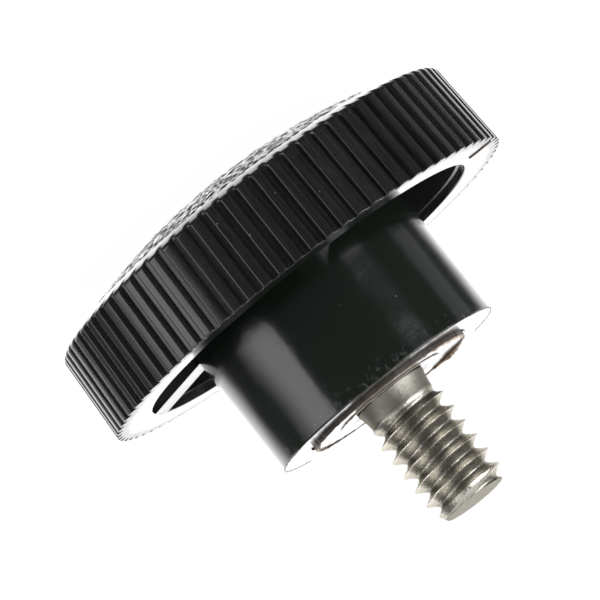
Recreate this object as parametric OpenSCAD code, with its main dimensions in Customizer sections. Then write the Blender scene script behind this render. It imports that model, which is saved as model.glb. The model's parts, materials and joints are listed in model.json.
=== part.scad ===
// Knurled clamping knob: a moulded head with a domed top, a straight-knurled rim and a hub,
// and a steel stud moulded into the hub.
// The seat of the hub lies at the origin. The stud points along +Z, and the dome faces -Z.

/* [Knurled rim] */
// Diameter over the tooth crests at the open face
rim_d = 35; // [32:0.5:45]
// Height of the knurled band
rim_h = 6.8; // [6:0.1:10]
// Draft of the knurled band on each side, in degrees
rim_draft = 3; // [2:0.5:8]
// Rounding between the knurled band and the dome
rim_round = 0.5; // [0.3:0.1:0.8]
// Number of teeth
tooth_count = 78; // [60:3:84]
// Depth of the grooves between the teeth
tooth_depth = 0.4; // [0.25:0.05:0.6]
// Width of a tooth's crest at the open face
crest_w = 0.65; // [0.5:0.01:0.74]
// Width of a groove's floor
root_w = 0.3; // [0.15:0.01:0.36]

/* [Dome] */
// Radius of the domed top
dome_r = 46; // [36:1:80]

/* [Pockets] */
// Diameter of the rim's inner wall at the open face
pocket_d = 28.6; // [26:0.2:30]
// Depth of the pockets below the open face
pocket_depth = 5; // [3:0.1:5.6]
// Depth of the shallow step inside the rim
step_depth = 0.65; // [0.4:0.05:1.2]
// Width of the shallow step inside the rim
step_w = 0.25; // [0.1:0.05:0.5]
// Bevel along the edges of the pocket floor
floor_bevel = 0.5; // [0.2:0.1:0.8]
// Angle from the first of three ribs between hub and rim to each of the others
rib_spread = 112; // [100:1:130]
// Width of a rib
rib_w = 3.4; // [1.5:0.1:5]
// Fall of a rib's underside from the rim to the hub
rib_fall = 0.75; // [0:0.05:1.5]

/* [Hub] */
// Diameter of the hub
hub_d = 19; // [17:0.1:22]
// Height of the hub's shoulder above the open face of the rim
hub_h = 9.2; // [6:0.1:14]
// Bevel around the hub's shoulder
hub_bevel = 0.15; // [0.1:0.05:0.5]
// Diameter of the raised seat on the hub's end
seat_d = 13.4; // [11:0.1:15]
// Height of the raised seat
seat_h = 0.25; // [0.1:0.05:0.5]
// Gap between the thread and the edge of the relief in the seat
relief_gap = 0.7; // [0.5:0.1:1.2]
// Depth of the relief
relief_depth = 0.1; // [0.1:0.05:0.5]

/* [Stud] */
// Thread diameter
stud_d = 6.15; // [6:0.05:8]
// Length of the stud above the seat
stud_len = 10; // [8:0.1:25]
// Diameter of the plain neck
neck_d = 5.5; // [4.5:0.05:5.8]
// Length of the plain neck above the seat
neck_len = 1.6; // [0.8:0.1:3]
// Distance from one turn of the thread to the next
thread_pitch = 1.3; // [1:0.05:1.6]
// Depth of the thread
thread_depth = 0.75; // [0.4:0.05:0.85]
// Diameter of the stud's flat tip
tip_d = 4.8; // [3.5:0.1:5.6]
// Length of the taper to the tip
tip_len = 1.3; // [0.4:0.1:3]
// Width across the flats of the anchor head inside the hub
anchor_af = 11.1; // [9:0.1:12]
// Thickness of the anchor head
anchor_h = 4.1; // [2.5:0.1:5]
// Distance from the seat to the anchor head
anchor_depth = 6; // [3:0.1:8]

/* [Hidden] */
// Steps of a full turn on the round faces
$fn = 96;
// Reach of a cut past the face that it opens
cut = 1;
// Steps of the rounding below the dome
round_steps = 4;
// First rib's place around the axis
rib_start = 90;

rim_r = rim_d / 2;
hub_r = hub_d / 2;
pocket_r = pocket_d / 2;
shoulder_z = -seat_h;
open_z = shoulder_z - hub_h;
floor_z = open_z - pocket_depth;
brow_z = open_z - rim_h;
brow_r = rim_r - rim_h * tan(rim_draft);
dome_z = brow_z + sqrt(dome_r * dome_r - brow_r * brow_r);
crown_z = dome_z - dome_r;

tooth_pitch = PI * rim_d / tooth_count;
groove_w = tooth_pitch - crest_w;
groove_slope = (groove_w - root_w) / 2 / tooth_depth;
groove_run = rim_h / cos(rim_draft) + 2 * cut;

// Centre of the rounding that touches both the band and the dome
band_out = [cos(rim_draft), -sin(rim_draft)];
band_down = [-sin(rim_draft), -cos(rim_draft)];
round_start = [rim_r, open_z] - rim_round * band_out;
round_from_dome = round_start - [0, dome_z];
round_half = round_from_dome * band_down;
round_gap = round_from_dome * round_from_dome - (dome_r - rim_round) ^ 2;
round_centre = round_start + (sqrt(round_half ^ 2 - round_gap) - round_half) * band_down;

// Points of the rounding, from the band towards the dome.
// It stops short of the dome's own slope and runs on straight, so that it crosses the dome at an angle.
dome_turn = atan2(round_centre[1] - dome_z, round_centre[0]);
last_turn = -rim_draft + 0.85 * (dome_turn + rim_draft);
brow_round = [
    for (i = [0 : round_steps])
        let (turn = -rim_draft + (last_turn + rim_draft) * i / round_steps)
        round_centre + rim_round * [cos(turn), sin(turn)]
];
brow_exit = brow_round[round_steps] + 3 * rim_round * [sin(last_turn), -cos(last_turn)];

// Turns of the thread from the neck to the tip, as rings with the flats of the standard form:
// an eighth of the pitch at the crest and a quarter at the root
stud_r = stud_d / 2;
tip_r = tip_d / 2;
root_r = stud_r - thread_depth;
crest_half = thread_pitch / 16;
root_half = thread_pitch / 8;
turn_count = floor((stud_len - neck_len - 2 * root_half) / thread_pitch);

// Radius that the taper to the tip leaves at a height
function taper_r(z) = min(stud_r, tip_r + (stud_len - z) * (stud_r - tip_r) / tip_len);

// Section of the head without teeth, pockets and dome
module head_outline() {
    polygon(concat(
        [
            [0, 0],
            [seat_d / 2, 0],
            [seat_d / 2, shoulder_z],
            [hub_r - hub_bevel, shoulder_z],
            [hub_r, shoulder_z - hub_bevel],
            [hub_r, open_z],
            [rim_r, open_z]
        ],
        brow_round,
        [
            brow_exit,
            [brow_exit[0], crown_z - cut],
            [0, crown_z - cut]
        ]
    ));
}

// One groove of the knurl, along the drafted band
module groove() {
    top_w = groove_w + 2 * cut * groove_slope;
    translate([rim_r, 0, open_z])
        rotate([0, rim_draft, 0])
            translate([0, 0, cut - groove_run])
                linear_extrude(groove_run)
                    polygon([
                        [-tooth_depth, -root_w / 2],
                        [cut, -top_w / 2],
                        [cut, top_w / 2],
                        [-tooth_depth, root_w / 2]
                    ]);
}

module knurl() {
    for (i = [0 : tooth_count - 1])
        rotate([0, 0, (i + 0.5) * 360 / tooth_count])
            groove();
}

// One rib, with its underside falling from the rim to the hub
module rib() {
    reach = pocket_r - hub_r;
    spare = cut * rib_fall / reach;
    rotate([90, 0, 0])
        linear_extrude(rib_w, center = true)
            polygon([
                [hub_r - cut, floor_z - cut],
                [pocket_r + cut, floor_z - cut],
                [pocket_r + cut, open_z + spare],
                [hub_r - cut, open_z - rib_fall - spare]
            ]);
}

// Ring of pockets between the hub and the rim, parted by the ribs
module pockets() {
    wall_r = pocket_r - step_w;
    difference() {
        rotate_extrude()
            polygon([
                [hub_r, open_z + cut],
                [hub_r, floor_z + floor_bevel],
                [hub_r + floor_bevel, floor_z],
                [wall_r - floor_bevel, floor_z],
                [wall_r, floor_z + floor_bevel],
                [wall_r, open_z - step_depth],
                [pocket_r, open_z - step_depth],
                [pocket_r, open_z + cut]
            ]);
        for (turn = [0, rib_spread, -rib_spread])
            rotate([0, 0, rib_start + turn])
                rib();
    }
}

// Anchor head and shank of the stud, which the hub is moulded around
module anchor(shank_top) {
    translate([0, 0, -anchor_depth - anchor_h])
        cylinder(h = anchor_h, d = anchor_af / cos(30), $fn = 6);
    translate([0, 0, -anchor_depth])
        cylinder(h = anchor_depth + shank_top, d = neck_d);
}

module knob_head() {
    color([0.07, 0.075, 0.07])
        difference() {
            intersection() {
                rotate_extrude()
                    head_outline();
                translate([0, 0, dome_z])
                    sphere(r = dome_r);
            }
            knurl();
            pockets();
            anchor(cut);
            translate([0, 0, -relief_depth])
                cylinder(h = relief_depth + cut, r = stud_r + relief_gap);
        }
}

// Section of the threaded length, from the neck to the tip
module thread_outline() {
    polygon(concat(
        [[0, neck_len], [neck_d / 2, neck_len]],
        [
            for (i = [0 : turn_count - 1])
                let (crest_z = neck_len + (i + 0.5) * thread_pitch, root_z = crest_z + thread_pitch / 2)
                each [
                    [taper_r(crest_z - crest_half), crest_z - crest_half],
                    [taper_r(crest_z + crest_half), crest_z + crest_half],
                    [min(root_r, taper_r(root_z - root_half)), root_z - root_half],
                    [min(root_r, taper_r(root_z + root_half)), root_z + root_half]
                ]
        ],
        [[tip_r, stud_len], [0, stud_len]]
    ));
}

module threaded_stud() {
    color([0.62, 0.6, 0.56]) {
        anchor(neck_len);
        rotate_extrude()
            thread_outline();
    }
}

knob_head();
threaded_stud();
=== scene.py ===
"""Looks of a knurled clamping knob: the moulded head, the threaded stud and the flash around the seat."""

import json
import math
from types import SimpleNamespace

import bmesh
import bpy
from bpy.props import FloatProperty, FloatVectorProperty, IntProperty, PointerProperty
from mathutils import Matrix, Vector, noise


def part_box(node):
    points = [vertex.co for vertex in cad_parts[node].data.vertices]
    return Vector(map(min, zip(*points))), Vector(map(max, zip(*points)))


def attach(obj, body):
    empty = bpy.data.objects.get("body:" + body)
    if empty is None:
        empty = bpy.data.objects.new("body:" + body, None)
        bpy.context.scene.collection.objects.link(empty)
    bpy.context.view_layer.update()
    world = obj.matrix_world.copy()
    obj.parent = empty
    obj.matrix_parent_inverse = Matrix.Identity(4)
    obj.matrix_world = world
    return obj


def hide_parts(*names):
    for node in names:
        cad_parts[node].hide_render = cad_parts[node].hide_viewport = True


bl_info = {
    "name": "Knurled Knob",
    "version": (1, 0, 0),
    "blender": (4, 5, 0),
    "location": "View3D > Sidebar > Knob",
    "description": "Builds the head, stud and moulding flash of a knurled clamping knob",
    "category": "Mesh",
}

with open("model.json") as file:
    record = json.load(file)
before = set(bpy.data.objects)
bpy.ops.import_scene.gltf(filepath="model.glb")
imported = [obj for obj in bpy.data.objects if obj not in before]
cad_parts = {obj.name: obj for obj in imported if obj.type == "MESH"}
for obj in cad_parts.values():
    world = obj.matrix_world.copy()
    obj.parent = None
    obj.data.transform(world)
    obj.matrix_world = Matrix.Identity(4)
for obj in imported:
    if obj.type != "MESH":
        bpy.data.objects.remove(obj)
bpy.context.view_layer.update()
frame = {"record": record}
HEAD_LOW, HEAD_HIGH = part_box("knob_head")
STUD_LOW, STUD_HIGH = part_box("threaded_stud")
MOUNTS = {mount["name"]: mount for mount in frame["record"]["mounts"]}

MM = 0.001
MERGE_DISTANCE = 0.001 * MM
CUT_TOLERANCE = 0.0001 * MM
BODY = "root"
PHOTO_WIDTH = 600
# Fixed start of the noise, so that the grain and the crumbs are the same in every run
NOISE_SEED = 7
# Turn of the photograph's view about the axis, from looking along +Y towards +X
VIEW_TURN = math.radians(281.4)
# Heights of the flash in millimetres, by degrees around the seat from the view's right towards the back
FLASH_HEIGHTS = (
    (0, 0.2), (12, 0.11), (40, 0.27), (62, 0.06), (120, 0.03), (150, 0.1), (172, 0.13), (200, 0.12),
    (225, 0.05), (270, 0.07), (300, 0.11), (330, 0.2), (360, 0.2),
)
# Half of one turn of the thread as (share of the pitch, share of the depth), from the crest
THREAD_HALF = (
    (0.015, 0), (0.04, 0.05), (0.08, 0.17), (0.13, 0.35), (0.18, 0.49),
    (0.24, 0.62), (0.31, 0.77), (0.38, 0.9), (0.44, 0.97),
)
# Lamps by name: degrees to the right of the camera, degrees above the rim's plane,
# distance, width and height in metres, and power in watts
SOFTBOXES = {
    "left_softbox": (-70, -22, 0.4, 0.36, 0.42, 1.4),
    "right_strip": (50, 17, 0.5, 0.2, 0.36, 0.55),
    "front_box": (60, 38, 0.45, 0.5, 0.32, 1.65),
    "front_card": (-45, 36, 0.45, 0.26, 0.3, 0.3),
    "side_card": (106, 0, 0.5, 0.2, 0.4, 0.11),
    "top_card": (180, 86, 0.4, 0.42, 0.42, 0.48),
}


# Sizes and colours


def a_length(name, description, millimetres):
    """A length that a user can change, with its default in millimetres."""
    return FloatProperty(name=name, description=description, default=millimetres * MM, unit="LENGTH")


def an_angle(name, description, degrees):
    """An angle that a user can change, with its default in degrees."""
    return FloatProperty(name=name, description=description, default=math.radians(degrees), unit="ROTATION")


def a_colour(name, description, default):
    """A colour that a user can change."""
    return FloatVectorProperty(name=name, description=description, default=default, subtype="COLOR")


class KNOB_PG_head(bpy.types.PropertyGroup):
    """Sizes of the moulded head."""

    rim_diameter: a_length("Rim diameter", "Over the tooth crests at the open face", 2 * HEAD_HIGH.x / MM)
    rim_height: a_length("Rim height", "Height of the knurled band", 6.8)
    rim_draft: an_angle("Rim draft", "Draft of the knurled band on each side", 3)
    brow_round: a_length("Brow rounding", "Rounding between the knurled band and the dome", 0.5)
    tooth_count: IntProperty(name="Teeth", description="Number of teeth around the rim", default=78)
    tooth_depth: a_length("Tooth depth", "Depth of the grooves between the teeth", 0.4)
    crest_width: a_length("Crest width", "Width of a tooth's crest at the open face", 0.65)
    root_width: a_length("Root width", "Width of a groove's floor", 0.3)
    edge_round: a_length("Edge rounding", "Rounding of the tooth edges and of the rim's lips", 0.09)
    dome_radius: a_length("Dome radius", "Radius of the domed top", 46)
    grain_radius: a_length("Grain radius", "Radius of the grained middle of the dome", 15.4)
    grain_size: a_length("Grain size", "Size of one pebble of the grain", 0.7)
    grain_depth: a_length("Grain depth", "Depth of the furrows between the pebbles", 0.13)
    pocket_diameter: a_length("Pocket diameter", "Diameter of the rim's inner wall at the open face", 28.6)
    pocket_depth: a_length("Pocket depth", "Depth of the pockets below the open face", 5)
    step_depth: a_length("Step depth", "Depth of the shallow step inside the rim", 0.65)
    step_width: a_length("Step width", "Width of the shallow step inside the rim", 0.25)
    floor_round: a_length("Floor rounding", "Rounding along the edges of the pocket floor", 0.5)
    rib_spread: an_angle("Rib spread", "Angle from the first rib to each of the other two", 112)
    rib_width: a_length("Rib width", "Width of a rib", 3.4)
    rib_fall: a_length("Rib fall", "Fall of a rib's open side from the rim to the hub", 0.75)
    hub_diameter: a_length("Hub diameter", "Diameter of the hub", 19)
    hub_height: a_length("Hub height", "Height of the hub's shoulder above the open face", 9.2)
    hub_round: a_length("Hub rounding", "Rounding around the hub's shoulder", 0.15)
    seat_diameter: a_length("Seat diameter", "Diameter of the raised seat on the hub's end", 13.4)
    seat_height: a_length("Seat height", "Height of the raised seat", 0.25)
    relief_diameter: a_length("Relief diameter", "Diameter of the relief around the stud", 7.55)
    relief_depth: a_length("Relief depth", "Depth of the relief around the stud", 0.1)


class KNOB_PG_stud(bpy.types.PropertyGroup):
    """Sizes of the threaded stud and of its anchor inside the hub."""

    crest_radius: a_length("Crest radius", "Radius over the thread's crests", MOUNTS["stud"]["dims"]["r_mm"])
    thread_pitch: a_length("Thread pitch", "Rise of the thread in one turn", 1.305)
    thread_depth: a_length("Thread depth", "Depth of the thread from crest to root", 0.79)
    crest_height: a_length("Crest height", "Height of the first crest on the far right of the view", 2.27)
    neck_radius: a_length("Neck radius", "Radius of the plain neck and of the shank", 2.75)
    neck_flare: a_length("Neck flare", "About half of what the neck's radius grows towards its foot", 0.12)
    neck_length: a_length("Neck length", "Length of the plain neck above the seat", 1.6)
    tip_radius: a_length("Tip radius", "Radius at the end of the taper", 2.4)
    tip_length: a_length("Tip length", "Length of the taper to the tip", 1.3)
    tip_round: a_length("Tip rounding", "Rounding around the flat end", 0.2)
    end_slant: an_angle("End slant", "Slant of the cut end towards the camera", 3.5)
    anchor_flats: a_length("Anchor flats", "Width across the flats of the anchor head", 11.1)
    anchor_depth: a_length("Anchor depth", "Distance from the seat to the anchor head", 6)


class KNOB_PG_flash(bpy.types.PropertyGroup):
    """Sizes of the moulding flash around the seat."""

    height: FloatProperty(
        name="Height", description="Height of the flash above the seat, as a share of its usual height",
        default=1, min=0)
    width: a_length("Width", "Width of the flash at its foot", 0.14)
    crumb_size: a_length("Crumb size", "Radius of the largest crumbs", 0.15)
    burr_height: a_length("Burr height", "Height of the burr on the hub's edge", 0.06)
    ridge_radius: a_length("Ridge radius", "Radius of the low ridge around the stud", 4.5)
    ridge_height: a_length("Ridge height", "Height of the low ridge around the stud", 0.11)
    hair_width: a_length("Hair width", "Width of the hair on the rim's open face", 0.11)


class KNOB_PG_finish(bpy.types.PropertyGroup):
    """Colours of the finishes."""

    plastic_colour: a_colour("Plastic", "Colour of the black moulding", (0.0064, 0.0094, 0.0067))
    knurl_colour: a_colour(
        "Knurl", "Colour of the handled moulding on the knurl", (0.0056, 0.0055, 0.0053))
    # The dust colour also paints bounce light into the pockets
    dust_and_bounce_colour: a_colour("Dust", "Colour of the dust on the moulding", (0.16, 0.165, 0.16))
    steel_colour: a_colour("Steel", "Colour of the bright steel", (0.64, 0.615, 0.555))
    steel_stain: a_colour(
        "Steel stain", "Colour of the dark film in the thread's roots", (0.15, 0.146, 0.128))
    # The brown of the flash's thin top is a painted glow of light shining through it
    flash_glow_colour: a_colour("Flash", "Colour of the torn moulding flash", (0.6, 0.49, 0.41))
    floor_colour: a_colour("Floor", "Colour of the stage floor", (0.9, 0.9, 0.9))


class KNOB_PG_view(bpy.types.PropertyGroup):
    """Camera of the photograph, fitted to the rim and the hub."""

    tilt: an_angle("Tilt", "Elevation of the camera above the plane of the rim", 6.93)
    roll: an_angle("Roll", "Turn of the knob's axis in the picture, down from level", 51.62)
    distance: a_length("Distance", "Distance from the camera to the rim's open face", 433.04)
    focal_pixels: FloatProperty(
        name="Focal length in pixels", description="Focal length, in pixels of the photograph",
        default=6000)
    centre_pixel: FloatVectorProperty(
        name="Centre pixel", description="Place of the open face's centre in the photograph",
        default=(309.36, 290.36), size=2)


# View directions, outlines and lathe work


def view_axes():
    """Level directions of the photograph: away from the camera, and to the right along the rim."""
    away = Vector((math.sin(VIEW_TURN), math.cos(VIEW_TURN), 0))
    right = Vector((-math.cos(VIEW_TURN), math.sin(VIEW_TURN), 0))
    return away, right


def head_levels(sizes):
    """Heights and radii of the head that follow from its sizes. The seat lies at height 0."""
    levels = SimpleNamespace()
    levels.rim_r = sizes.rim_diameter / 2
    levels.hub_r = sizes.hub_diameter / 2
    levels.pocket_r = sizes.pocket_diameter / 2
    levels.wall_r = levels.pocket_r - sizes.step_width
    levels.shoulder_z = -sizes.seat_height
    levels.open_z = levels.shoulder_z - sizes.hub_height
    levels.floor_z = levels.open_z - sizes.pocket_depth
    levels.brow_z = levels.open_z - sizes.rim_height
    levels.brow_r = levels.rim_r - sizes.rim_height * math.tan(sizes.rim_draft)
    levels.dome_z = levels.brow_z + math.sqrt(sizes.dome_radius ** 2 - levels.brow_r ** 2)
    return levels


def fillet(before, corner, after, radius, steps):
    """Points of the arc that rounds a corner of an outline."""
    corner = Vector(corner)
    to_before = (Vector(before) - corner).normalized()
    to_after = (Vector(after) - corner).normalized()
    half = to_before.angle(to_after) / 2
    centre = corner + (to_before + to_after).normalized() * radius / math.sin(half)
    start = corner + to_before * radius / math.tan(half) - centre
    end = corner + to_after * radius / math.tan(half) - centre
    turn = math.atan2(start.x * end.y - start.y * end.x, start.dot(end))
    return [centre + Matrix.Rotation(turn * i / steps, 2) @ start for i in range(steps + 1)]


def rounded_outline(corners, steps=4):
    """Outline through (radius, height, rounding) corners, with an arc at each corner that has a rounding."""
    points = []
    for i, (radius, height, rounding) in enumerate(corners):
        if rounding:
            before = corners[i - 1][:2]
            after = corners[i + 1][:2]
            points += fillet(before, (radius, height), after, rounding, steps)
        else:
            points.append(Vector((radius, height)))
    return points


def lathe(mesh, outline, steps):
    """Turns an open outline of (radius, height) points about the axis and returns the new vertices."""
    known = set(mesh.verts)
    line = [mesh.verts.new((radius, 0, height)) for radius, height in outline]
    edges = [mesh.edges.new(pair) for pair in zip(line, line[1:])]
    bmesh.ops.spin(mesh, geom=line + edges, axis=(0, 0, 1), angle=math.tau, steps=steps, use_merge=True)
    return [vert for vert in mesh.verts if vert not in known]


def linked_edges(verts):
    """Edges at these vertices, each once and in the same order in every run."""
    return list(dict.fromkeys(edge for vert in verts for edge in vert.link_edges))


def border_edges(verts, test=None):
    """Open edges among these vertices, or those of them whose ends both pass a test."""
    edges = [edge for edge in linked_edges(verts) if len(edge.link_faces) < 2]
    return [edge for edge in edges if test is None or all(test(vert.co) for vert in edge.verts)]


def closed_ring(mesh, outline, steps):
    """Turns an outline about the axis, closes it along its foot and returns the new vertices."""
    verts = lathe(mesh, outline, steps)
    bmesh.ops.bridge_loops(mesh, edges=border_edges(verts))
    return verts


def new_verts(result):
    """Vertices that an extrusion has made."""
    return [item for item in result["geom"] if isinstance(item, bmesh.types.BMVert)]


def near(value, target):
    """True where two lengths agree to a hundredth of a millimetre."""
    return abs(value - target) < 0.01 * MM


def add_anchor(mesh, neck_edges, stud):
    """Closes the shank's end with a hexagon bolt head below it."""
    corner_r = stud.anchor_flats / 2 / math.cos(math.radians(30))
    ring = bmesh.ops.create_circle(
        mesh, cap_ends=False, segments=6, radius=corner_r,
        matrix=Matrix.Translation((0, 0, -stud.anchor_depth)) @ Matrix.Rotation(math.radians(90), 4, "Z"))
    hexagon = linked_edges(ring["verts"])
    bmesh.ops.triangle_fill(mesh, edges=neck_edges + hexagon, use_beauty=True)
    lower = new_verts(bmesh.ops.extrude_edge_only(mesh, edges=hexagon))
    drop = STUD_LOW.z + stud.anchor_depth
    bmesh.ops.translate(mesh, verts=lower, vec=(0, 0, drop))
    bottom = border_edges(lower, lambda co: near(co.z, STUD_LOW.z))
    bmesh.ops.edgeloop_fill(mesh, edges=bottom)


def finish_mesh(mesh, name, sharp_angle, smooth_below=None):
    """Merges, orients and shades a bmesh, and returns its object."""
    bmesh.ops.remove_doubles(mesh, verts=mesh.verts, dist=MERGE_DISTANCE)
    bmesh.ops.recalc_face_normals(mesh, faces=mesh.faces)
    data = bpy.data.meshes.new(name)
    shade(mesh, sharp_angle, smooth_below)
    mesh.to_mesh(data)
    mesh.free()
    piece = bpy.data.objects.new(name, data)
    bpy.context.scene.collection.objects.link(piece)
    return piece


def shade(mesh, sharp_angle, smooth_below=None):
    """Smooth faces. Edges above a height are sharp where two faces meet at more than an angle."""
    for face in mesh.faces:
        face.smooth = True
    for edge in mesh.edges:
        grained = smooth_below is not None and edge.verts[0].co.z < smooth_below
        edge.smooth = grained or edge.calc_face_angle(0) < sharp_angle


def add_piece(piece, material, node=None):
    """Gives a piece its finish, its body and the solid that it stands for."""
    piece.data.materials.clear()
    piece.data.materials.append(material)
    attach(piece, BODY)
    if node:
        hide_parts(node)


# Head


def tooth_profile(sizes, levels):
    """Places around one tooth as shares of the pitch, with the depth at each, from the crest's middle."""
    pitch = math.tau * levels.rim_r / sizes.tooth_count
    crest = Vector((sizes.crest_width / 2, 0))
    root = Vector((pitch / 2 - sizes.root_width / 2, sizes.tooth_depth))
    flank = (root - crest).normalized()
    soft = sizes.edge_round
    half = [
        crest - Vector((soft, 0)),
        crest + (flank - Vector((1, 0))) * soft / 4,
        crest + flank * soft,
        root,
    ]
    falling = [(point.x / pitch, point.y) for point in half]
    rising = [(1 - share, depth) for share, depth in reversed(falling)]
    return falling + rising


def cut_teeth(verts, profile, sizes, levels):
    """Draws the columns of the turned band into teeth, whose grooves run out in the brow."""
    columns = len(profile)
    total = sizes.tooth_count * columns
    lip_z = levels.open_z - 2 * sizes.edge_round
    for vert in verts:
        angle = math.atan2(vert.co.y, vert.co.x)
        tooth, place = divmod(round(angle / math.tau * total) % total, columns)
        share, depth = profile[place]
        angle = (tooth + share) * math.tau / sizes.tooth_count
        radius = vert.co.xy.length
        if vert.co.z > lip_z:
            radius -= depth
        else:
            band_r = levels.rim_r + (vert.co.z - levels.open_z) * math.tan(sizes.rim_draft)
            radius = min(radius, band_r - depth)
        vert.co.x = radius * math.cos(angle)
        vert.co.y = radius * math.sin(angle)


def dome_height(radius, sizes, levels):
    """Height of the dome's face at a radius."""
    return levels.dome_z - math.sqrt(sizes.dome_radius ** 2 - radius ** 2)


def add_band(mesh, sizes, levels):
    """Smooth edge of the dome, brow, knurled band and lip. Returns the edges on the dome and on the lip."""
    profile = tooth_profile(sizes, levels)
    ring_rows = 5
    brow_in = levels.brow_r - 2 * sizes.brow_round
    dome = []
    for i in range(ring_rows):
        radius = sizes.grain_radius + (brow_in - sizes.grain_radius) * i / (ring_rows - 1)
        dome.append((radius, dome_height(radius, sizes, levels), 0))
    lip_r = levels.rim_r - 3 * sizes.edge_round
    outline = rounded_outline(dome + [
        (levels.brow_r, levels.brow_z, sizes.brow_round),
        (levels.rim_r, levels.open_z, sizes.edge_round),
        (lip_r, levels.open_z, 0),
    ], steps=8)
    verts = lathe(mesh, outline, sizes.tooth_count * len(profile))
    cut_teeth(verts, profile, sizes, levels)
    dome_edges = border_edges(verts, lambda co: near(co.xy.length, sizes.grain_radius))
    lip_edges = border_edges(verts, lambda co: near(co.z, levels.open_z))
    return dome_edges, lip_edges


def grain_rise(place, sizes):
    """Height of the pebbled grain at a place on the dome, from 0 in a furrow to 1 on a pebble."""
    wander_share = 0.35
    steepness = 2.6
    swell_share = 0.45
    cell = place / sizes.grain_size
    wander = noise.noise_vector(cell * 0.9) * wander_share
    distances = noise.voronoi(cell + wander)[0]
    furrow = min(1, (distances[1] - distances[0]) * steepness)
    swell = 0.5 + 0.5 * noise.noise(cell * 1.1)
    return furrow * (1 - swell_share + swell_share * swell)


def add_grain(mesh, sizes, levels, dome_edges):
    """Grained middle of the dome: a grid cut to a circle, raised into pebbles, joined to the smooth edge."""
    spacing = 0.115 * MM
    fade = 0.3 * MM
    cells = round(2 * sizes.grain_radius / spacing)
    grid = bmesh.ops.create_grid(mesh, x_segments=cells, y_segments=cells, size=sizes.grain_radius)["verts"]
    limit = sizes.grain_radius - 0.8 * spacing
    outside = [vert for vert in grid if vert.co.xy.length > limit]
    bmesh.ops.delete(mesh, geom=outside, context="VERTS")
    grid = [vert for vert in grid if vert.is_valid]
    for vert in grid:
        radius = vert.co.xy.length
        edge_share = min(1, (sizes.grain_radius - radius) / fade)
        place = Vector((vert.co.x, vert.co.y, 0))
        sink = (grain_rise(place, sizes) - 1) * sizes.grain_depth * edge_share
        vert.co.z = dome_height(radius, sizes, levels) - sink
    border = border_edges(grid)
    bmesh.ops.triangle_fill(mesh, edges=border + dome_edges, use_beauty=True, normal=(0, 0, -1))


def add_underside(mesh, sizes, stud, levels, lip_edges):
    """Open face, pockets, hub, seat and the cavity around the stud's anchor."""
    fine = 0.05 * MM
    turn_steps = 2 * sizes.tooth_count
    lip_r = levels.pocket_r + 2 * sizes.edge_round
    seat_r = sizes.seat_diameter / 2
    relief_r = sizes.relief_diameter / 2
    outline = rounded_outline([
        (lip_r, levels.open_z, 0),
        (levels.pocket_r, levels.open_z, sizes.edge_round),
        (levels.pocket_r, levels.open_z - sizes.step_depth, fine),
        (levels.wall_r, levels.open_z - sizes.step_depth, fine),
        (levels.wall_r, levels.floor_z, sizes.floor_round),
        (levels.hub_r, levels.floor_z, sizes.floor_round),
        (levels.hub_r, levels.shoulder_z, sizes.hub_round),
        (seat_r, levels.shoulder_z, fine),
        (seat_r, 0, fine),
        (relief_r, 0, 0),
        (relief_r - 4 * sizes.relief_depth, -sizes.relief_depth, 0),
        (stud.neck_radius, -sizes.relief_depth, 0),
        (stud.neck_radius, -stud.anchor_depth, 0),
    ])
    verts = lathe(mesh, outline, turn_steps)
    pocket_edges = border_edges(verts, lambda co: near(co.z, levels.open_z))
    bmesh.ops.triangle_fill(mesh, edges=lip_edges + pocket_edges, use_beauty=True, normal=(0, 0, 1))
    neck_edges = border_edges(verts, lambda co: near(co.z, -stud.anchor_depth))
    add_anchor(mesh, neck_edges, stud)


def add_ribs(sizes, levels):
    """Sloping ribs between the hub and the rim, as one object to join to the head."""
    mesh = bmesh.new()
    sunk = 1 * MM
    inset = 0.005 * MM
    reach = levels.pocket_r - levels.hub_r
    fall_past = sunk * sizes.rib_fall / reach
    side = [
        (levels.hub_r - sunk, levels.floor_z - sunk),
        (levels.pocket_r + sunk, levels.floor_z - sunk),
        (levels.pocket_r + sunk, levels.open_z - sunk),
        (levels.pocket_r, levels.open_z - inset),
        (levels.hub_r - sunk, levels.open_z - inset - sizes.rib_fall - fall_past),
    ]
    first_rib = math.radians(90)
    for turn in (0, sizes.rib_spread, -sizes.rib_spread):
        around = first_rib + turn
        face = mesh.faces.new([mesh.verts.new((r, -sizes.rib_width / 2, z)) for r, z in side])
        far = new_verts(bmesh.ops.extrude_face_region(mesh, geom=[face]))
        bmesh.ops.translate(mesh, verts=far, vec=(0, sizes.rib_width, 0))
        bmesh.ops.rotate(mesh, verts=list(face.verts) + far, cent=(0, 0, 0),
                         matrix=Matrix.Rotation(around, 3, "Z"))
    return finish_mesh(mesh, "ribs", math.radians(30))


def join_ribs(head, ribs):
    """Unites the ribs with the head and removes their own object."""
    union = head.modifiers.new("Ribs", "BOOLEAN")
    union.operation = "UNION"
    union.solver = "MANIFOLD"
    union.object = ribs
    graph = bpy.context.evaluated_depsgraph_get()
    joined = bpy.data.meshes.new_from_object(head.evaluated_get(graph))
    head.modifiers.clear()
    head.data = joined
    joined.name = head.name
    bpy.data.objects.remove(ribs)


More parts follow.
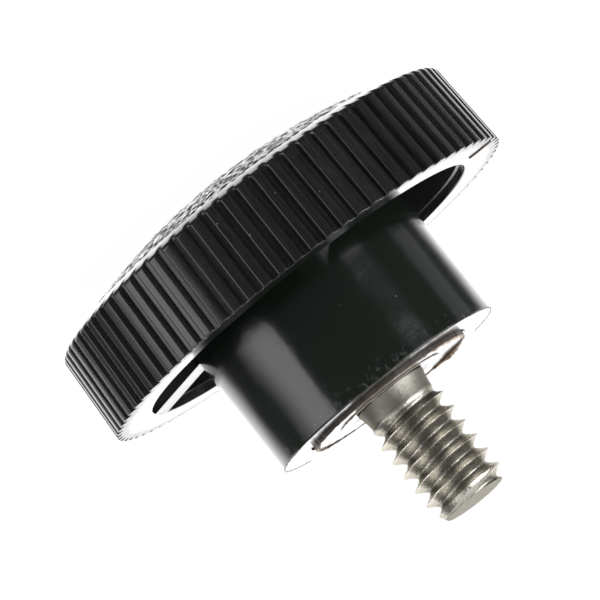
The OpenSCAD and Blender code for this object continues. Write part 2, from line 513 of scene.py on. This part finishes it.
class KNOB_OT_add_head(bpy.types.Operator):
    """Add the moulded head with its knurl, grained dome, pockets, ribs and hub"""

    bl_idname = "knob.add_head"
    bl_label = "Add Moulded Head"

    def execute(self, context):
        sizes = context.scene.knob_head
        stud = context.scene.knob_stud
        levels = head_levels(sizes)
        sharp = math.radians(40)
        mesh = bmesh.new()
        dome_edges, lip_edges = add_band(mesh, sizes, levels)
        add_grain(mesh, sizes, levels, dome_edges)
        add_underside(mesh, sizes, stud, levels, lip_edges)
        head = finish_mesh(mesh, "moulded_head", sharp, levels.brow_z)
        join_ribs(head, add_ribs(sizes, levels))
        # The edges where the ribs meet the head are new
        mesh = bmesh.new()
        mesh.from_mesh(head.data)
        shade(mesh, sharp, levels.brow_z)
        mesh.to_mesh(head.data)
        mesh.free()
        flat = head.modifiers.new("Flat lands", "WEIGHTED_NORMAL")
        flat.keep_sharp = True
        add_piece(head, plastic_material(context.scene.knob_finish, levels), "knob_head")
        return {"FINISHED"}


# Stud


def thread_profile():
    """Points over one pitch as (share of the pitch, share of the depth), from a crest to the next."""
    return [*THREAD_HALF, (0.5, 1), *((1 - share, depth) for share, depth in reversed(THREAD_HALF))]


def thread_radius(depth_share, height, stud):
    """Radius of the stud at a place on the thread, with its run-out at the neck and its bevel at the tip."""
    run_out = 0.9 * stud.thread_pitch
    run_start = stud.neck_length - 0.3 * run_out
    foot_growth = 2.2
    waist = 0.6
    grown = min(1, max(0, (height - run_start) / run_out))
    grown = grown * grown * (3 - 2 * grown)
    full = stud.crest_radius - stud.thread_depth * depth_share
    neck = stud.neck_radius
    if height > -0.5 * stud.neck_flare:
        up_neck = min(1, max(0, height / stud.neck_length))
        neck += stud.neck_flare * (foot_growth * (1 - up_neck) ** 2 - waist)
    radius = neck + grown * (full - neck)
    below_end = max(0, STUD_HIGH.z - height)
    taper = stud.tip_radius + below_end * (stud.crest_radius - stud.tip_radius) / stud.tip_length
    into_round = max(0, stud.tip_round - below_end)
    rounding = stud.tip_round - math.sqrt(max(0, stud.tip_round ** 2 - into_round ** 2))
    return min(radius, taper) - rounding


def turn_thread(mesh, stud):
    """Turns the thread's outline along a helix, well past both ends of the stud."""
    turn_steps = 120
    spare_turns = 2
    pitch = stud.thread_pitch
    first = math.floor((-stud.anchor_depth - stud.crest_height) / pitch) - spare_turns
    last = math.ceil((STUD_HIGH.z - stud.crest_height) / pitch) + spare_turns
    depth_layer = mesh.verts.layers.float.new("depth_share")
    line = []
    for turn in range(first, last):
        for share, depth in thread_profile():
            vert = mesh.verts.new((stud.crest_radius, 0, (turn + share) * pitch))
            vert[depth_layer] = depth
            line.append(vert)
    edges = [mesh.edges.new(pair) for pair in zip(line, line[1:])]
    bmesh.ops.spin(mesh, geom=line + edges, axis=(0, 0, 1), angle=math.tau, steps=turn_steps,
                   dvec=(0, 0, pitch / turn_steps))
    bmesh.ops.remove_doubles(mesh, verts=mesh.verts, dist=MERGE_DISTANCE)
    # Half a turn less the view's own turn is the far right of the photograph
    far_right = Matrix.Rotation(math.pi - VIEW_TURN, 3, "Z")
    bmesh.ops.rotate(mesh, verts=mesh.verts, cent=(0, 0, 0), matrix=far_right)
    bmesh.ops.translate(mesh, verts=mesh.verts, vec=(0, 0, stud.crest_height))
    for vert in mesh.verts:
        radius = thread_radius(vert[depth_layer], vert.co.z, stud)
        direction = vert.co.xy.normalized()
        vert.co.x = direction.x * radius
        vert.co.y = direction.y * radius


def cut_flat(mesh, centre, normal):
    """Cuts away what lies past a plane and returns the open edges that the cut leaves."""
    geom = mesh.verts[:] + mesh.edges[:] + mesh.faces[:]
    bmesh.ops.bisect_plane(mesh, geom=geom, dist=CUT_TOLERANCE, plane_co=centre, plane_no=normal,
                           clear_outer=True)
    return border_edges(mesh.verts, lambda co: near(normal.dot(co - centre), 0))


class KNOB_OT_add_stud(bpy.types.Operator):
    """Add the steel stud with its rolled thread, plain neck and anchor head"""

    bl_idname = "knob.add_stud"
    bl_label = "Add Threaded Stud"

    def execute(self, context):
        stud = context.scene.knob_stud
        tip_border = 0.1 * MM
        mesh = bmesh.new()
        turn_thread(mesh, stud)
        cut_flat(mesh, Vector((0, 0, -stud.anchor_depth)), Vector((0, 0, -1)))
        away = view_axes()[0]
        slant = math.tan(stud.end_slant)
        end_normal = (Vector((0, 0, 1)) - away * slant).normalized()
        end_centre = Vector((0, 0, STUD_HIGH.z - stud.tip_radius * slant))
        tip_edges = cut_flat(mesh, end_centre, end_normal)
        tip = bmesh.ops.edgeloop_fill(mesh, edges=tip_edges)["faces"]
        bmesh.ops.inset_region(mesh, faces=tip, thickness=tip_border)
        neck_edges = border_edges(mesh.verts, lambda co: near(co.z, -stud.anchor_depth))
        add_anchor(mesh, neck_edges, stud)
        piece = finish_mesh(mesh, "rolled_stud", math.radians(38))
        add_piece(piece, steel_material(context.scene.knob_finish, stud), "threaded_stud")
        return {"FINISHED"}


# Moulding flash


def view_turn(place):
    """Turn of a place about the axis, from the right of the view towards the back."""
    return (math.pi - VIEW_TURN - math.atan2(place.y, place.x)) % math.tau


def flash_height(turn):
    """Usual height of the flash at a turn from the right of the view."""
    degrees = math.degrees(turn)
    for (start, low), (end, high) in zip(FLASH_HEIGHTS, FLASH_HEIGHTS[1:]):
        if degrees <= end:
            share = (degrees - start) / (end - start)
            return (low + (high - low) * share) * MM
    return FLASH_HEIGHTS[-1][1] * MM


def add_torn_ring(mesh, flash, head):
    """Thin torn wall that stands around the seat."""
    seat_r = head.seat_diameter / 2
    foot = 0.03 * MM
    inner = seat_r - flash.width / 2
    outer = seat_r + flash.width / 2
    top = 1 * MM
    ring_steps = 540
    verts = closed_ring(mesh, [
        (outer, -head.seat_height - foot),
        (outer, -0.4 * head.seat_height),
        (seat_r + 0.25 * flash.width, top),
        (seat_r - 0.2 * flash.width, top),
        (inner, 0.2 * top),
        (inner, -foot),
    ], ring_steps)
    for vert in verts:
        around = vert.co.xy.normalized().to_3d()
        if vert.co.z > 0:
            lumps = 1 + 0.6 * noise.noise(around * 9) + 0.35 * noise.noise(around * 21)
            rise = flash.height * flash_height(view_turn(vert.co)) * max(0.15, lumps)
            vert.co.z *= rise / top
        wobble = 0.45 * flash.width * noise.noise(around * 16 + Vector((0, 0, vert.co.z / MM * 2)))
        vert.co += around * wobble


def add_ridge(mesh, flash):
    """Low ridge around the stud that fades out at the back."""
    half = 0.06 * MM
    foot = 0.03 * MM
    ring_steps = 360
    verts = closed_ring(mesh, [
        (flash.ridge_radius + half, -foot),
        (flash.ridge_radius, flash.ridge_height),
        (flash.ridge_radius - half, -foot),
    ], ring_steps)
    for vert in verts:
        around = vert.co.xy.normalized().to_3d()
        if vert.co.z > 0:
            front = min(1, max(0, 0.25 - 2.5 * math.sin(view_turn(vert.co))))
            vert.co.z = -foot / 2 + vert.co.z * front * (0.9 + 0.5 * noise.noise(around * 7))
        vert.co += around * half * noise.noise(around * 5)


def add_burr(mesh, flash, head):
    """Thin burr on the hub's edge, at the two sides that the view shows edge on."""
    edge_r = head.hub_diameter / 2 - 0.5 * head.hub_round
    half = 0.04 * MM
    foot = 0.06 * MM
    ring_steps = 480
    least_side = 0.72
    fade = 0.12
    lump_turn = math.pi + 0.06
    lump_reach = 0.09
    lump_growth = 4
    verts = closed_ring(mesh, [
        (edge_r + half, -head.seat_height - foot),
        (edge_r, 1 * MM),
        (edge_r - half, -head.seat_height - foot),
    ], ring_steps)
    for vert in verts:
        around = vert.co.xy.normalized().to_3d()
        if vert.co.z > 0:
            turn = view_turn(vert.co)
            side = abs(math.cos(turn))
            share = min(1, max(0, (side - least_side) / fade))
            lumps = 1 + 0.5 * noise.noise(around * 14)
            left = max(0, 1 - abs(turn - lump_turn) / lump_reach)
            rise = flash.burr_height * share * (lumps + lump_growth * left)
            vert.co.z = -head.seat_height - 0.3 * foot + rise
        vert.co += around * 0.4 * half * noise.noise(around * 20)


def add_crumbs(mesh, flash, head):
    """Crumbs that gather at the two sides of the seat that the view shows edge on."""
    seat_r = head.seat_diameter / 2
    crumb_count = 40
    scatter_turn = 0.22
    scatter = 0.45 * MM
    lump_size = 0.12 * MM
    for i in range(crumb_count):
        side = -VIEW_TURN if i % 2 else math.pi - VIEW_TURN
        angle = side + scatter_turn * noise.noise(Vector((i * 1.7, 0.3, 0)))
        size = flash.crumb_size * (0.3 + 0.7 * abs(noise.noise(Vector((0.5, i * 2.3, 0)))))
        radius = seat_r + scatter * noise.noise(Vector((i * 0.9, i * 1.3, 4)))
        height = size * 0.6 if radius < seat_r else size * 0.6 - head.seat_height
        place = Matrix.Translation((radius * math.cos(angle), radius * math.sin(angle), height))
        crumb = bmesh.ops.create_icosphere(mesh, subdivisions=2, radius=size, matrix=place)["verts"]
        for vert in crumb:
            vert.co += noise.noise_vector(vert.co / lump_size) * size * 0.7


def add_hair(mesh, flash, levels):
    """Short hair that lies across the rim's open face, near its right end."""
    away, right = view_axes()
    ends = (right * 16.87 * MM - away * 2.93 * MM, right * 14.86 * MM - away * 2.69 * MM)
    sag = 0.12 * MM
    steps = 10
    lift = levels.open_z + 0.4 * flash.hair_width
    path = []
    for i in range(steps + 1):
        share = i / steps
        bend = sag * math.sin(math.pi * share)
        path.append(ends[0].lerp(ends[1], share) + away * bend + Vector((0, 0, lift)))
    along = (ends[1] - ends[0]).normalized()
    turn = along.to_track_quat("Z", "Y").to_matrix().to_4x4()
    ring = bmesh.ops.create_circle(mesh, cap_ends=False, segments=8, radius=flash.hair_width / 2,
                                   matrix=Matrix.Translation(path[0]) @ turn)["verts"]
    edges = linked_edges(ring)
    bmesh.ops.edgeloop_fill(mesh, edges=edges)
    for before, after in zip(path, path[1:]):
        ring = new_verts(bmesh.ops.extrude_edge_only(mesh, edges=edges))
        bmesh.ops.translate(mesh, verts=ring, vec=after - before)
        edges = border_edges(ring)
    bmesh.ops.edgeloop_fill(mesh, edges=edges)


class KNOB_OT_add_flash(bpy.types.Operator):
    """Add the torn flash around the seat, the burr on the hub's edge, crumbs and a hair on the rim"""

    bl_idname = "knob.add_flash"
    bl_label = "Add Moulding Flash"

    def execute(self, context):
        flash = context.scene.knob_flash
        head = context.scene.knob_head
        mesh = bmesh.new()
        add_torn_ring(mesh, flash, head)
        add_ridge(mesh, flash)
        add_burr(mesh, flash, head)
        add_crumbs(mesh, flash, head)
        add_hair(mesh, flash, head_levels(head))
        piece = finish_mesh(mesh, "moulding_flash", math.radians(50))
        add_piece(piece, flash_material(context.scene.knob_finish))
        return {"FINISHED"}


# Materials


def new_material(name):
    """A node material with its Principled shader, and the place to put more nodes."""
    material = bpy.data.materials.new(name)
    material.use_nodes = True
    tree = material.node_tree
    return material, tree, tree.nodes["Principled BSDF"]


def add_node(tree, kind, values=None, **settings):
    """Adds a node, sets its own settings and the values of its input sockets."""
    node = tree.nodes.new(kind)
    for name, value in settings.items():
        setattr(node, name, value)
    for socket, value in (values or {}).items():
        node.inputs[socket].default_value = value
    return node


def mix_colours(tree, first, second, share):
    """Mix of two plain colours by a linked share."""
    mix = add_node(tree, "ShaderNodeMix", data_type="RGBA")
    mix.inputs["A"].default_value = (*first, 1)
    mix.inputs["B"].default_value = (*second, 1)
    tree.links.new(share, mix.inputs["Factor"])
    return mix.outputs["Result"]


def mix_shaders(tree, share, first, second):
    """Mix of two linked shaders by a linked share."""
    mix = add_node(tree, "ShaderNodeMixShader")
    for socket, value in zip(mix.inputs, (share, first, second)):
        tree.links.new(value, socket)
    return mix.outputs[0]


def object_place(tree):
    """Sockets of a point's place on its object: the place, its height and its distance from the axis."""
    where = add_node(tree, "ShaderNodeTexCoord")
    parts = add_node(tree, "ShaderNodeSeparateXYZ")
    level = add_node(tree, "ShaderNodeVectorMath", {1: (1, 1, 0)}, operation="MULTIPLY")
    reach = add_node(tree, "ShaderNodeVectorMath", operation="LENGTH")
    tree.links.new(where.outputs["Object"], parts.inputs[0])
    tree.links.new(where.outputs["Object"], level.inputs[0])
    tree.links.new(level.outputs["Vector"], reach.inputs[0])
    return where.outputs["Object"], parts.outputs["Z"], reach.outputs["Value"]


def ramp(tree, value, start, end, low, high, shape="LINEAR"):
    """A linked value carried from one range to another, and held at the ends."""
    spread = add_node(tree, "ShaderNodeMapRange", {
        "From Min": start, "From Max": end, "To Min": low, "To Max": high}, interpolation_type=shape)
    tree.links.new(value, spread.inputs["Value"])
    return spread.outputs["Result"]


def combine(tree, operation, result, *others):
    """Result of an operation on linked values, from the first of them to the last."""
    for value in others:
        step = add_node(tree, "ShaderNodeMath", operation=operation)
        tree.links.new(result, step.inputs[0])
        tree.links.new(value, step.inputs[1])
        result = step.outputs[0]
    return result


def add_bump(tree, shader, height, strength, distance):
    """Fine relief from a linked height, on a shader's normal."""
    bump = add_node(tree, "ShaderNodeBump", {"Strength": strength, "Distance": distance})
    tree.links.new(height, bump.inputs["Height"])
    tree.links.new(bump.outputs["Normal"], shader.inputs["Normal"])
    return bump


def mottle_group():
    """Node group that the finishes share: fine mottling, a slow swell and sparse specks."""
    group = bpy.data.node_groups.get("mottle_and_specks")
    if group:
        return group
    group = bpy.data.node_groups.new("mottle_and_specks", "ShaderNodeTree")
    inputs = (("Mottle Size", 0.6), ("Swell Size", 4), ("Speck Spacing", 0.9), ("Speck Share", 0.2))
    for name, default in inputs:
        socket = group.interface.new_socket(name, in_out="INPUT", socket_type="NodeSocketFloat")
        socket.default_value = default
    for name in ("Mottle", "Swell", "Specks"):
        group.interface.new_socket(name, in_out="OUTPUT", socket_type="NodeSocketFloat")
    start = add_node(group, "NodeGroupInput")
    end = add_node(group, "NodeGroupOutput")
    where = add_node(group, "ShaderNodeTexCoord")
    mottle = add_node(group, "ShaderNodeTexNoise", {"Detail": 5.0, "Roughness": 0.6})
    swell = add_node(group, "ShaderNodeTexNoise", {"Detail": 1.0, "Roughness": 0.3})
    cells = add_node(group, "ShaderNodeTexVoronoi", {"Randomness": 1.0})
    chosen = add_node(group, "ShaderNodeSeparateColor")
    links = group.links
    for size, texture in (("Mottle Size", mottle), ("Swell Size", swell), ("Speck Spacing", cells)):
        per_metre = add_node(group, "ShaderNodeMath", {0: 1 / MM}, operation="DIVIDE")
        links.new(start.outputs[size], per_metre.inputs[1])
        links.new(per_metre.outputs[0], texture.inputs["Scale"])
        links.new(where.outputs["Object"], texture.inputs["Vector"])
    links.new(cells.outputs["Color"], chosen.inputs["Color"])
    dot = ramp(group, cells.outputs["Distance"], 0.035, 0.075, 1, 0)
    keep = combine(group, "LESS_THAN", chosen.outputs["Red"], start.outputs["Speck Share"])
    links.new(mottle.outputs["Fac"], end.inputs["Mottle"])
    links.new(swell.outputs["Fac"], end.inputs["Swell"])
    links.new(combine(group, "MULTIPLY", dot, keep), end.inputs["Specks"])
    return group


def plastic_material(finish, levels):
    """Glossy black moulding with a faint mottle, painted bounce light in the pockets and a streaked film on
    the knurl.
    """
    material, tree, shader = new_material("black_moulding")
    effects = add_node(tree, "ShaderNodeGroup", node_tree=mottle_group(), values={
        "Mottle Size": 0.5, "Speck Spacing": 0.9, "Speck Share": 0.1})
    mottle = effects.outputs["Mottle"]
    place, height, reach = object_place(tree)
    knurl = ramp(tree, reach, levels.rim_r - 1.3 * MM, levels.rim_r - 0.8 * MM, 0, 1)
    streak_width = 0.16 * MM
    streak_dust = 0.065
    pocket_bounce = 0.25
    fleck_dust = 0.35
    stretch = add_node(tree, "ShaderNodeVectorMath", {1: (1, 1, 0.05)}, operation="MULTIPLY")
    streaks = add_node(tree, "ShaderNodeTexNoise", {"Scale": 1 / streak_width, "Detail": 2.0})
    tree.links.new(place, stretch.inputs[0])
    tree.links.new(stretch.outputs["Vector"], streaks.inputs["Vector"])
    film = combine(tree, "MULTIPLY", knurl, ramp(tree, streaks.outputs["Fac"], 0.35, 0.7, 0, streak_dust),
                   ramp(tree, height, levels.brow_z, levels.open_z, 1, 0.4))
    below_lip = ramp(tree, height, levels.open_z - 0.5 * MM, levels.open_z, 1, 0)
    above_floor = ramp(tree, height, levels.floor_z - 0.6 * MM, levels.floor_z - 0.1 * MM, 0, 1)
    past_hub = ramp(tree, reach, levels.hub_r + 0.1 * MM, levels.hub_r + 0.5 * MM, 0, 1)
    inside_rim = ramp(tree, reach, levels.pocket_r + 0.2 * MM, levels.pocket_r + 0.6 * MM, 1, 0)
    in_pocket = combine(tree, "MINIMUM", below_lip, above_floor, past_hub, inside_rim)
    # Painted bounce light: the pockets are lightened towards the dust colour
    painted_bounce = ramp(tree, in_pocket, 0, 1, 0, pocket_bounce)
    hub_end = ramp(tree, height, levels.shoulder_z - 1.6 * MM, levels.shoulder_z, 0, 1)
    flecks = combine(tree, "MULTIPLY", hub_end, ramp(tree, mottle, 0.56, 0.7, 0, fleck_dust))
    # Dust on the knurl and on the hub's end, and painted bounce light in the pockets
    dust_and_bounce = combine(tree, "MAXIMUM", film, painted_bounce, flecks, effects.outputs["Specks"])
    clean = mix_colours(tree, finish.plastic_colour, finish.knurl_colour, knurl)
    colour = mix_colours(tree, finish.plastic_colour, finish.dust_and_bounce_colour, dust_and_bounce)
    tree.links.new(clean, colour.node.inputs["A"])
    tree.links.new(colour, shader.inputs["Base Color"])
    gloss = combine(tree, "ADD", ramp(tree, mottle, 0, 1, 0.09, 0.22), ramp(tree, knurl, 0, 1, 0, 0.1))
    tree.links.new(gloss, shader.inputs["Roughness"])
    waves = add_node(tree, "ShaderNodeBump", {"Strength": 1.0, "Distance": 0.09 * MM})
    tree.links.new(effects.outputs["Swell"], waves.inputs["Height"])
    bump = add_bump(tree, shader, mottle, 0.4, 0.012 * MM)
    tree.links.new(waves.outputs["Normal"], bump.inputs["Normal"])
    shader.inputs["IOR"].default_value = 1.52
    return material


def steel_material(finish, stud):
    """Bright rolled steel with a dark film in the thread's roots, on the neck and on the cut end."""
    material, tree, shader = new_material("rolled_steel")
    effects = add_node(tree, "ShaderNodeGroup", {"Mottle Size": 0.2}, node_tree=mottle_group())
    mottle = effects.outputs["Mottle"]
    height, reach = object_place(tree)[1:]
    root_r = stud.crest_radius - stud.thread_depth
    roots = ramp(tree, reach, root_r, root_r + 0.8 * stud.thread_depth, 0.75, 0)
    film = combine(tree, "MULTIPLY", roots, ramp(tree, mottle, 0.3, 0.7, 0.1, 1.3))
    cut_end = ramp(tree, height, STUD_HIGH.z - 0.32 * MM, STUD_HIGH.z - 0.3 * MM, 0, 0.75)
    neck_film = 0.65
    dull_neck = ramp(tree, height, stud.neck_length - 0.3 * MM, stud.neck_length + 0.1 * MM, neck_film, 0)
    stain = combine(tree, "MAXIMUM", film, dull_neck, cut_end)
    colour = mix_colours(tree, finish.steel_colour, finish.steel_stain, stain)
    tree.links.new(colour, shader.inputs["Base Color"])
    worn = combine(tree, "ADD", ramp(tree, mottle, 0.3, 0.7, -0.08, 0.08),
                   ramp(tree, reach, root_r, stud.crest_radius, 0.34, 0.26),
                   ramp(tree, dull_neck, 0, neck_film, 0, 0.2))
    tree.links.new(worn, shader.inputs["Roughness"])
    add_bump(tree, shader, mottle, 0.8, 0.035 * MM)
    shader.inputs["Metallic"].default_value = 1
    shader.inputs["Specular Tint"].default_value = (0.45, 0.43, 0.4, 1)
    return material


def flash_material(finish):
    """Torn edge of the moulding, dark at its foot and brownish towards its thin top, where the brown is a
    painted glow of light shining through it.
    """
    material, tree, shader = new_material("torn_flash")
    effects = add_node(tree, "ShaderNodeGroup", {"Mottle Size": 0.3}, node_tree=mottle_group())
    mottle = effects.outputs["Mottle"]
    height = object_place(tree)[1]
    # Painted glow: the flash turns lighter and brownish towards its thin top, as if lit through
    painted_glow = combine(tree, "MULTIPLY", ramp(tree, height, 0.02 * MM, 0.1 * MM, 0.1, 1),
                   ramp(tree, mottle, 0.35, 0.65, 0.3, 1))
    foot_share = 0.07
    dark = [foot_share * channel for channel in finish.flash_glow_colour]
    tree.links.new(mix_colours(tree, dark, finish.flash_glow_colour, painted_glow), shader.inputs["Base Color"])
    shader.inputs["Subsurface Weight"].default_value = 0.8
    shader.inputs["Subsurface Radius"].default_value = (1, 0.85, 0.75)
    shader.inputs["Subsurface Scale"].default_value = 0.5 * MM
    tree.links.new(ramp(tree, mottle, 0, 1, 0.3, 0.7), shader.inputs["Roughness"])
    add_bump(tree, shader, mottle, 0.5, 0.03 * MM)
    return material


def floor_material(finish):
    """Pale floor that the camera sees as white, with a faint shadow of the part."""
    material, tree, shader = new_material("pale_floor")
    shader.inputs["Base Color"].default_value = (*finish.floor_colour, 1)
    shader.inputs["Roughness"].default_value = 0.9
    path = add_node(tree, "ShaderNodeLightPath")
    white = add_node(tree, "ShaderNodeEmission", {"Strength": 0.99})
    shaded = add_node(tree, "ShaderNodeBsdfDiffuse", {"Color": (0.05, 0.05, 0.05, 1)})
    backdrop = add_node(tree, "ShaderNodeAddShader")
    tree.links.new(white.outputs[0], backdrop.inputs[0])
    tree.links.new(shaded.outputs[0], backdrop.inputs[1])
    lit = mix_shaders(tree, path.outputs["Is Camera Ray"], shader.outputs[0], backdrop.outputs[0])
    side = add_node(tree, "ShaderNodeNewGeometry")
    clear = add_node(tree, "ShaderNodeBsdfTransparent")
    one_sided = mix_shaders(tree, side.outputs["Backfacing"], lit, clear.outputs[0])
    tree.links.new(one_sided, tree.nodes["Material Output"].inputs["Surface"])
    return material


# Stage


def add_camera(view, open_z):
    """Camera of the photograph, with the knob's axis pointing down to the right in the picture."""
    away, right = view_axes()
    axis = Vector((0, 0, 1))
    forward = away * math.cos(view.tilt) - axis * math.sin(view.tilt)
    upward = away * math.sin(view.tilt) + axis * math.cos(view.tilt)
    # In the picture the axis runs down to the right, and the rim's right end up to the right
    picture_x = upward * math.cos(view.roll) + right * math.sin(view.roll)
    picture_y = upward * math.sin(view.roll) - right * math.cos(view.roll)
    off_x = (view.centre_pixel[0] - PHOTO_WIDTH / 2) / view.focal_pixels * view.distance
    off_y = (view.centre_pixel[1] - PHOTO_WIDTH / 2) / view.focal_pixels * view.distance
    target = Vector((0, 0, open_z))
    place = target - forward * view.distance - picture_x * off_x - picture_y * off_y
    data = bpy.data.cameras.new("photo_camera")
    data.sensor_width = 36
    data.lens = view.focal_pixels / PHOTO_WIDTH * data.sensor_width
    camera = bpy.data.objects.new("photo_camera", data)
    turn = Matrix((picture_x, -picture_y, -forward)).transposed()
    camera.matrix_world = Matrix.Translation(place) @ turn.to_4x4()
    bpy.context.scene.collection.objects.link(camera)
    bpy.context.scene.camera = camera


def lamp_direction(degrees_right, degrees_up):
    """Direction to a lamp, by its angle to the right of the camera and its angle above the rim's plane."""
    away, right = view_axes()
    around = math.radians(degrees_right)
    up = math.radians(degrees_up)
    level = right * math.sin(around) - away * math.cos(around)
    return level * math.cos(up) + Vector((0, 0, math.sin(up)))


def fade_across(lamp, start, least):
    """Fades a lamp across its width, from full at a share of the width to its least at the edge."""
    lamp.use_nodes = True
    tree = lamp.node_tree
    where = add_node(tree, "ShaderNodeNewGeometry")
    across = add_node(tree, "ShaderNodeSeparateXYZ")
    tree.links.new(where.outputs["Parametric"], across.inputs[0])
    level = ramp(tree, across.outputs["X"], start, 1, 1, least, "SMOOTHSTEP")
    tree.links.new(level, tree.nodes["Emission"].inputs["Strength"])


def add_softbox(name, aim):
    """Area lamp of the table, facing a point and hidden from the camera."""
    degrees_right, degrees_up, distance, width, height, power = SOFTBOXES[name]
    direction = lamp_direction(degrees_right, degrees_up)
    data = bpy.data.lights.new(name, "AREA")
    data.shape = "RECTANGLE"
    data.size = width
    data.size_y = height
    data.energy = power
    lamp = bpy.data.objects.new(name, data)
    lamp.location = aim + direction * distance
    lamp.rotation_mode = "QUATERNION"
    lamp.rotation_quaternion = direction.to_track_quat("Z", "Y")
    lamp.visible_camera = False
    bpy.context.scene.collection.objects.link(lamp)
    return data


def set_world():
    """White backdrop behind the knob and a dim room around it. The camera sees white all round."""
    backdrop = lamp_direction(-175, 8)
    world = bpy.data.worlds.new("studio")
    world.use_nodes = True
    bpy.context.scene.world = world
    tree = world.node_tree
    room = tree.nodes["Background"]
    where = add_node(tree, "ShaderNodeTexCoord")
    towards = add_node(tree, "ShaderNodeVectorMath", {1: backdrop}, operation="DOT_PRODUCT")
    tree.links.new(where.outputs["Generated"], towards.inputs[0])
    room.inputs["Color"].default_value = (1, 1, 1, 1)
    level = ramp(tree, towards.outputs["Value"], 0.53, 0.84, 0.12, 2.2, "SMOOTHSTEP")
    tree.links.new(level, room.inputs["Strength"])
    white = add_node(tree, "ShaderNodeBackground", {"Color": (1, 1, 1, 1), "Strength": 1.0})
    path = add_node(tree, "ShaderNodeLightPath")
    shown = mix_shaders(tree, path.outputs["Is Camera Ray"], room.outputs[0], white.outputs[0])
    tree.links.new(shown, tree.nodes["World Output"].inputs["Surface"])


class KNOB_OT_set_stage(bpy.types.Operator):
    """Set the floor, the lights and the photograph's camera"""

    bl_idname = "knob.set_stage"
    bl_label = "Set Stage"

    def execute(self, context):
        scene = context.scene
        levels = head_levels(scene.knob_head)
        floor_reach = 4
        mesh = bmesh.new()
        bmesh.ops.create_grid(mesh, x_segments=1, y_segments=1, size=floor_reach,
                              matrix=Matrix.Translation((0, 0, HEAD_LOW.z)))
        floor = finish_mesh(mesh, "floor", math.radians(30))
        floor.data.materials.append(floor_material(scene.knob_finish))
        floor.visible_glossy = False
        floor.visible_shadow = False
        aim = Vector((0, 0, levels.open_z))
        lamps = {name: add_softbox(name, aim) for name in SOFTBOXES}
        fade_across(lamps["left_softbox"], 0.38, 0.1)
        set_world()
        add_camera(scene.knob_view, levels.open_z)
        scene.view_settings.view_transform = "Standard"
        return {"FINISHED"}


# Panel and registration


class KNOB_PT_sidebar(bpy.types.Panel):
    """Lists the knob's pieces and sizes in the sidebar"""

    bl_label = "Knurled Knob"
    bl_space_type = "VIEW_3D"
    bl_region_type = "UI"
    bl_category = "Knob"

    def draw(self, context):
        for step in STEPS:
            self.layout.operator(step.bl_idname)
        for name, kind in GROUPS.items():
            box = self.layout.box()
            for prop in kind.__annotations__:
                box.prop(getattr(context.scene, name), prop)


GROUPS = {
    "knob_head": KNOB_PG_head,
    "knob_stud": KNOB_PG_stud,
    "knob_flash": KNOB_PG_flash,
    "knob_finish": KNOB_PG_finish,
    "knob_view": KNOB_PG_view,
}
STEPS = (KNOB_OT_set_stage, KNOB_OT_add_head, KNOB_OT_add_stud, KNOB_OT_add_flash)


def register():
    for kind in (*GROUPS.values(), *STEPS, KNOB_PT_sidebar):
        bpy.utils.register_class(kind)
    for name, kind in GROUPS.items():
        setattr(bpy.types.Scene, name, PointerProperty(type=kind))


def unregister():
    for name in GROUPS:
        delattr(bpy.types.Scene, name)
    for kind in (KNOB_PT_sidebar, *reversed(STEPS), *reversed(GROUPS.values())):
        bpy.utils.unregister_class(kind)


def main():
    register()
    noise.seed_set(NOISE_SEED)
    bpy.ops.knob.set_stage()
    bpy.ops.knob.add_head()
    bpy.ops.knob.add_stud()
    bpy.ops.knob.add_flash()


if __name__ == "__main__":
    main()
